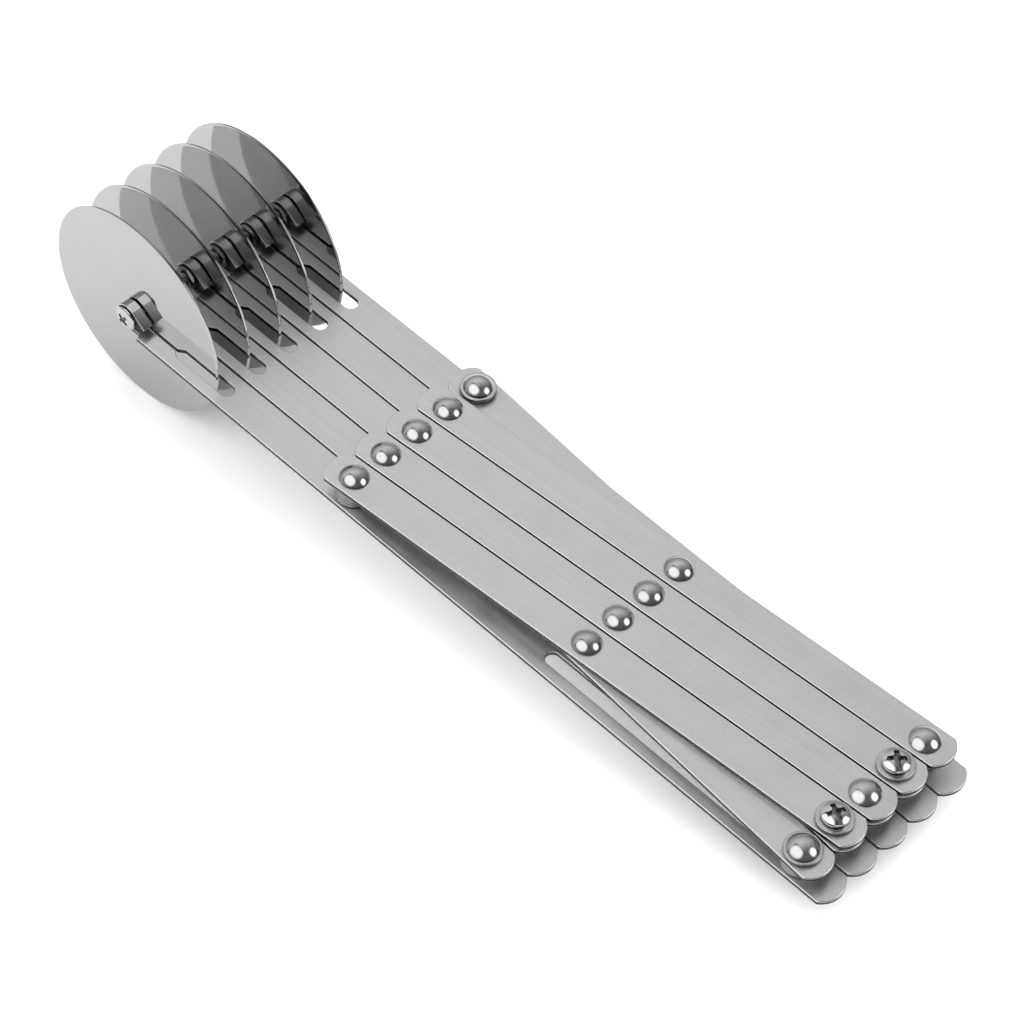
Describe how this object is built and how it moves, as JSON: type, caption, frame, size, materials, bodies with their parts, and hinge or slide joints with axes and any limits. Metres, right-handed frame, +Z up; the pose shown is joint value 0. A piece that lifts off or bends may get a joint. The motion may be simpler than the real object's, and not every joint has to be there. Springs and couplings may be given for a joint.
{
  "type": "pastry cutter wheel",
  "caption": "Hand tool with a row of round cutting wheels on slotted bars, kept evenly spaced by a folding lattice of crossing links.",
  "frame": {"origin": "on the bench, below the centre of the closed tool's box, with the tool resting on its wheels and on the lock screws at its handle end", "axes": "+Y towards the wheels, along the tool's length; +X across the bars, from bar 1 to bar 5; +Z up from the bench. The bars slope 5.0 degrees down to the handle end."},
  "size_m": [0.0492, 0.243, 0.055],
  "materials": {
    "brushed_bar": "satin, brushed along the bar, with polished edges",
    "polished_fastener": "bright polished stainless steel",
    "mirror_wheel": "mirror-polished stainless sheet"
  },
  "bodies": {
    "bar_1": {"wheel_bar_1": "brushed_bar", "front_spacer_1": "polished_fastener", "front_rivet_1": "polished_fastener", "axle_screw_1": "polished_fastener", "axle_nut_1": "polished_fastener"},
    "bar_2": {"wheel_bar_2": "brushed_bar", "front_spacer_2": "polished_fastener", "front_rivet_2": "polished_fastener", "axle_screw_2": "polished_fastener", "axle_nut_2": "polished_fastener"},
    "bar_3": {"wheel_bar_3": "brushed_bar", "front_spacer_3": "polished_fastener", "front_rivet_3": "polished_fastener", "axle_screw_3": "polished_fastener", "axle_nut_3": "polished_fastener"},
    "bar_4": {"wheel_bar_4": "brushed_bar", "front_spacer_4": "polished_fastener", "front_rivet_4": "polished_fastener", "axle_screw_4": "polished_fastener", "axle_nut_4": "polished_fastener"},
    "bar_5": {"wheel_bar_5": "brushed_bar", "front_spacer_5": "polished_fastener", "front_rivet_5": "polished_fastener", "axle_screw_5": "polished_fastener", "axle_nut_5": "polished_fastener", "front_cap_washer_5": "polished_fastener"},
    "upper_1": {"upper_link_1": "brushed_bar", "cross_rivet_1": "polished_fastener", "rear_spacer_2": "polished_fastener", "rear_washer_2": "polished_fastener", "lock_screw_2": "polished_fastener", "lock_nut_2": "polished_fastener"},
    "upper_2": {"upper_link_2": "brushed_bar", "cross_rivet_2": "polished_fastener", "rear_spacer_3": "polished_fastener", "rear_rivet_3": "polished_fastener"},
    "upper_3": {"upper_link_3": "brushed_bar", "cross_rivet_3": "polished_fastener", "rear_spacer_4": "polished_fastener", "rear_washer_4": "polished_fastener", "lock_screw_4": "polished_fastener", "lock_nut_4": "polished_fastener"},
    "upper_4": {"upper_link_4": "brushed_bar", "cross_rivet_4": "polished_fastener", "rear_spacer_5": "polished_fastener", "rear_rivet_5": "polished_fastener"},
    "lower_1": {"lower_link_1": "brushed_bar", "rear_spacer_1": "polished_fastener", "rear_washer_1": "polished_fastener", "rear_rivet_1": "polished_fastener"},
    "lower_2": {"lower_link_2": "brushed_bar"},
    "lower_3": {"lower_link_3": "brushed_bar"},
    "lower_4": {"lower_link_4": "brushed_bar"},
    "wheel_1": {"cutting_wheel_1": "mirror_wheel"},
    "wheel_2": {"cutting_wheel_2": "mirror_wheel"},
    "wheel_3": {"cutting_wheel_3": "mirror_wheel"},
    "wheel_4": {"cutting_wheel_4": "mirror_wheel"},
    "wheel_5": {"cutting_wheel_5": "mirror_wheel"}
  },
  "joints": [
    {"name": "open", "type": "hinge", "parent": "bar_3", "child": "upper_3", "pos_m": [0, 0.02278, 0.01896], "axis": [0, -0.0872, 0.9962], "range_deg": [0, 58]},
    {"name": "pivot_lower_3", "type": "hinge", "parent": "upper_3", "child": "lower_3", "pos_m": [0.0049, -0.04378, 0.01313], "axis": [0, -0.0872, 0.9962], "range_deg": [-116, 0]},
    {"name": "pivot_bar_4", "type": "hinge", "parent": "lower_3", "child": "bar_4", "pos_m": [0.0098, 0.02278, 0.01896], "axis": [0, -0.0872, 0.9962], "range_deg": [0, 58]},
    {"name": "pivot_upper_4", "type": "hinge", "parent": "bar_4", "child": "upper_4", "pos_m": [0.0098, 0.02278, 0.01896], "axis": [0, -0.0872, 0.9962], "range_deg": [0, 58]},
    {"name": "pivot_lower_4", "type": "hinge", "parent": "upper_4", "child": "lower_4", "pos_m": [0.0147, -0.04378, 0.01313], "axis": [0, -0.0872, 0.9962], "range_deg": [-116, 0]},
    {"name": "pivot_bar_5", "type": "hinge", "parent": "lower_4", "child": "bar_5", "pos_m": [0.0196, 0.02278, 0.01896], "axis": [0, -0.0872, 0.9962], "range_deg": [0, 58]},
    {"name": "pivot_lower_2", "type": "hinge", "parent": "bar_3", "child": "lower_2", "pos_m": [0, 0.02278, 0.01896], "axis": [0, -0.0872, 0.9962], "range_deg": [-58, 0]},
    {"name": "pivot_upper_2", "type": "hinge", "parent": "lower_2", "child": "upper_2", "pos_m": [-0.0049, -0.04378, 0.01313], "axis": [0, -0.0872, 0.9962], "range_deg": [0, 116]},
    {"name": "pivot_bar_2", "type": "hinge", "parent": "upper_2", "child": "bar_2", "pos_m": [-0.0098, 0.02278, 0.01896], "axis": [0, -0.0872, 0.9962], "range_deg": [-58, 0]},
    {"name": "pivot_lower_1", "type": "hinge", "parent": "bar_2", "child": "lower_1", "pos_m": [-0.0098, 0.02278, 0.01896], "axis": [0, -0.0872, 0.9962], "range_deg": [-58, 0]},
    {"name": "pivot_upper_1", "type": "hinge", "parent": "lower_1", "child": "upper_1", "pos_m": [-0.0147, -0.04378, 0.01313], "axis": [0, -0.0872, 0.9962], "range_deg": [0, 116]},
    {"name": "pivot_bar_1", "type": "hinge", "parent": "upper_1", "child": "bar_1", "pos_m": [-0.0196, 0.02278, 0.01896], "axis": [0, -0.0872, 0.9962], "range_deg": [-58, 0]},
    {"name": "spin_1", "type": "hinge", "parent": "bar_1", "child": "wheel_1", "pos_m": [-0.0196, 0.09401, 0.0275], "axis": [1, 0, 0], "continuous": true},
    {"name": "spin_2", "type": "hinge", "parent": "bar_2", "child": "wheel_2", "pos_m": [-0.0098, 0.09401, 0.0275], "axis": [1, 0, 0], "continuous": true},
    {"name": "spin_3", "type": "hinge", "parent": "bar_3", "child": "wheel_3", "pos_m": [0, 0.09401, 0.0275], "axis": [1, 0, 0], "continuous": true},
    {"name": "spin_4", "type": "hinge", "parent": "bar_4", "child": "wheel_4", "pos_m": [0.0098, 0.09401, 0.0275], "axis": [1, 0, 0], "continuous": true},
    {"name": "spin_5", "type": "hinge", "parent": "bar_5", "child": "wheel_5", "pos_m": [0.0196, 0.09401, 0.0275], "axis": [1, 0, 0], "continuous": true}
  ],
  "couplings": [
    {"joint": "pivot_lower_3", "follows": "open", "ratio": -2},
    {"joint": "pivot_bar_4", "follows": "open", "ratio": 1},
    {"joint": "pivot_upper_4", "follows": "open", "ratio": 1},
    {"joint": "pivot_lower_4", "follows": "open", "ratio": -2},
    {"joint": "pivot_bar_5", "follows": "open", "ratio": 1},
    {"joint": "pivot_lower_2", "follows": "open", "ratio": -1},
    {"joint": "pivot_upper_2", "follows": "open", "ratio": 2},
    {"joint": "pivot_bar_2", "follows": "open", "ratio": -1},
    {"joint": "pivot_lower_1", "follows": "open", "ratio": -1},
    {"joint": "pivot_upper_1", "follows": "open", "ratio": 2},
    {"joint": "pivot_bar_1", "follows": "open", "ratio": -1}
  ]
}
